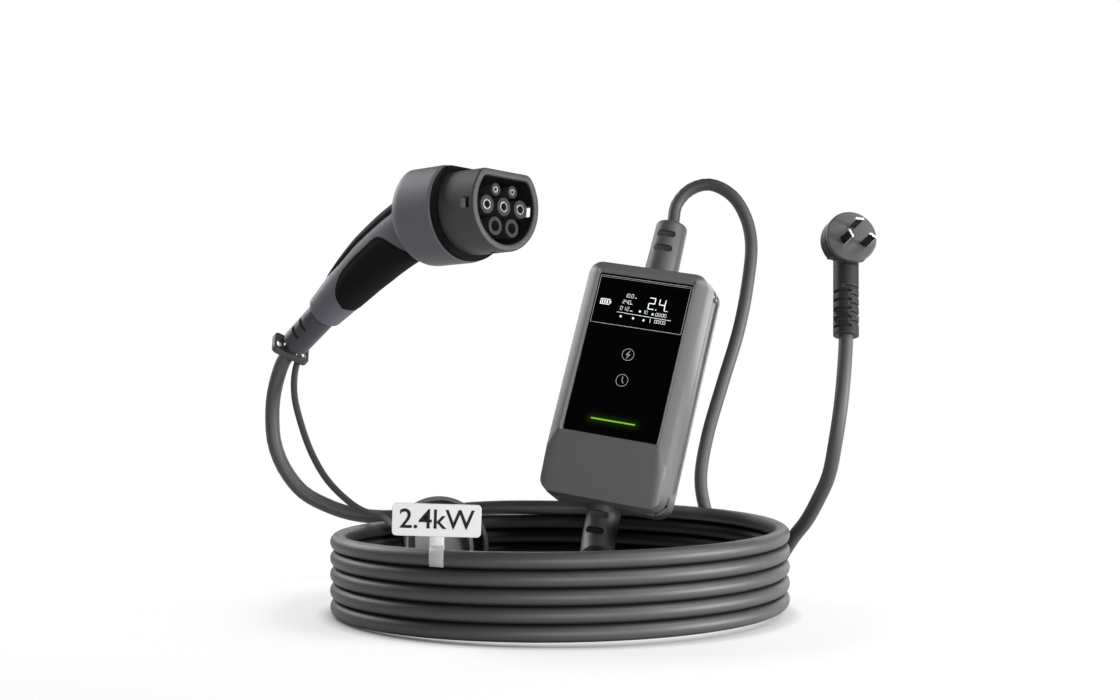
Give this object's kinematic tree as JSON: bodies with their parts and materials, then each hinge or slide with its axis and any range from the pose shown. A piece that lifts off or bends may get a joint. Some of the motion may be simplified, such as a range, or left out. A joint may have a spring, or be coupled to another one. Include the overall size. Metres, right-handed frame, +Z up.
{
  "type": "portable EV charger",
  "caption": "Portable electric-vehicle charger: control box with a display, coiled charging cable with a hand-held vehicle connector, and a mains lead ending in a flat-pin plug.",
  "frame": {"origin": "on the floor at the axis of the coiled cable", "axes": "+Z up along the coil's axis; -Y towards the viewer of the control box's display; +X towards the mains plug"},
  "size_m": [0.4844, 0.3705, 0.343],
  "materials": {
    "case_plastic": "fine grain",
    "soft_black": "soft matte",
    "panel_black": "polished",
    "lamp_green": "translucent",
    "board_green": "satin",
    "relay_blue": "satin",
    "plated_steel": "bright plated",
    "cable_grey": "matte",
    "shell_blue_grey": "satin",
    "nozzle_black": "satin",
    "contact_brass": "plated",
    "tag_white": "smooth"
  },
  "bodies": {
    "root": {"front_shell": "case_plastic", "back_shell": "case_plastic", "case_seal": "soft_black", "display_glass": "panel_black", "display_module": "panel_black", "light_guide": "lamp_green", "control_board": "board_green", "relay_pair": "relay_blue", "current_sensor": "soft_black", "supply_module": "soft_black", "terminal_block": "board_green", "case_screws": "plated_steel", "input_relief": "cable_grey", "output_relief": "cable_grey", "gun_shell_left": "shell_blue_grey", "gun_shell_right": "shell_blue_grey", "nozzle": "nozzle_black", "contact_carrier": "nozzle_black", "power_contacts": "contact_brass", "signal_contacts": "contact_brass", "nozzle_seal": "soft_black", "top_strip": "soft_black", "grip": "soft_black", "gun_relief": "shell_blue_grey", "tether_ring": "soft_black", "tether_strap": "cable_grey", "dust_cap": "soft_black", "plug_body": "cable_grey", "plug_face": "cable_grey", "line_pins": "plated_steel", "earth_pin": "plated_steel", "cable_coil": "cable_grey", "gun_cable": "cable_grey", "box_cable": "cable_grey", "mains_lead": "cable_grey", "tag_plate": "tag_white", "tag_clip": "tag_white"}
  },
  "joints": []
}
